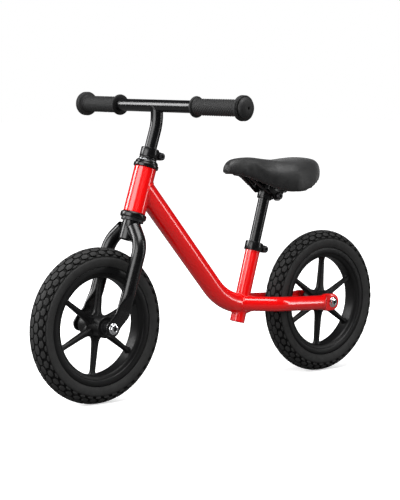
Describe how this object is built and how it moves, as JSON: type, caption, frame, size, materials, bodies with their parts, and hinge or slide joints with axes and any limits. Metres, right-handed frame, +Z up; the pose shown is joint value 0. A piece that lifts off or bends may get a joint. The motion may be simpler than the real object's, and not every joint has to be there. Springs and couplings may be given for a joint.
{
  "type": "balance bike",
  "caption": "Child's pedal-free balance bike: bent-tube steel frame, leaning fork, foam-tyred spoked wheels, height-adjustable bar and padded saddle.",
  "frame": {"origin": "on the ground, midway between the two axles, on the centre plane", "axes": "+X is the direction of travel, +Y the rider's left, +Z up"},
  "size_m": [0.85, 0.4742, 0.5583],
  "materials": {
    "red_paint": "gloss",
    "black_paint": "gloss",
    "black_steel": "satin black zinc",
    "chrome": "polished",
    "bare_steel": "plain",
    "black_plastic": "satin moulded",
    "tyre_rubber": "matt",
    "grip_rubber": "matt moulded",
    "saddle_cover": "matt leatherette"
  },
  "bodies": {
    "frame": {"head_tube": "red_paint", "main_tube": "red_paint", "seat_tube": "red_paint", "left_chainstay": "red_paint", "right_chainstay": "red_paint", "upper_headset_cup": "black_paint", "lower_headset_cup": "black_paint", "upper_headset_balls": "bare_steel", "lower_headset_balls": "bare_steel", "seat_collar": "black_paint", "seat_collar_bolt": "black_steel", "seat_collar_nut": "black_steel", "rear_axle": "bare_steel", "rear_axle_bolts": "chrome", "rear_axle_spacers": "black_steel", "rear_bearing_inner_rings": "black_steel"},
    "fork": {"steerer_tube": "black_paint", "crown_tube": "black_paint", "left_fork_leg": "black_paint", "right_fork_leg": "black_paint", "crown_race": "black_steel", "top_cone": "bare_steel", "headset_locknut": "black_paint", "stem_collar": "black_paint", "stem_collar_bolt": "black_steel", "stem_collar_nut": "black_steel", "front_axle": "bare_steel", "front_axle_bolts": "chrome", "front_axle_spacers": "black_steel", "front_bearing_inner_rings": "black_steel"},
    "handlebar": {"stem_tube": "black_paint", "crossbar": "black_paint", "left_grip": "grip_rubber", "right_grip": "grip_rubber"},
    "front_wheel": {"front_rim": "black_plastic", "front_tyre": "tyre_rubber", "front_bearing_outer_rings": "black_steel", "front_bearing_balls": "bare_steel"},
    "rear_wheel": {"rear_rim": "black_plastic", "rear_tyre": "tyre_rubber", "rear_bearing_outer_rings": "black_steel", "rear_bearing_balls": "bare_steel"},
    "seatpost": {"seatpost": "black_paint", "saddle_clamp": "black_paint", "saddle_clamp_bolt": "black_steel", "saddle_clamp_nut": "black_steel"},
    "saddle": {"rail_cups": "black_paint", "saddle_rails": "black_paint", "saddle_base": "black_plastic", "saddle_cushion": "saddle_cover"}
  },
  "joints": [
    {"name": "steering", "type": "hinge", "parent": "frame", "child": "fork", "pos_m": [0.2613, 0, 0.142], "axis": [-0.309, 0, 0.9511], "continuous": true},
    {"name": "front_wheel_spin", "type": "hinge", "parent": "fork", "child": "front_wheel", "pos_m": [0.283, 0, 0.142], "axis": [0, 1, 0], "continuous": true},
    {"name": "rear_wheel_spin", "type": "hinge", "parent": "frame", "child": "rear_wheel", "pos_m": [-0.283, 0, 0.142], "axis": [0, 1, 0], "continuous": true},
    {"name": "handlebar_height", "type": "slide", "parent": "fork", "child": "handlebar", "axis": [-0.309, 0, 0.9511], "range_m": [-0.02, 0.06]},
    {"name": "saddle_height", "type": "slide", "parent": "frame", "child": "seatpost", "axis": [-0.2773, 0, 0.9608], "range_m": [-0.07, 0.03]},
    {"name": "saddle_tilt", "type": "hinge", "parent": "seatpost", "child": "saddle", "pos_m": [-0.14555, 0, 0.35964], "axis": [0, 1, 0], "range_deg": [-10, 10]}
  ]
}
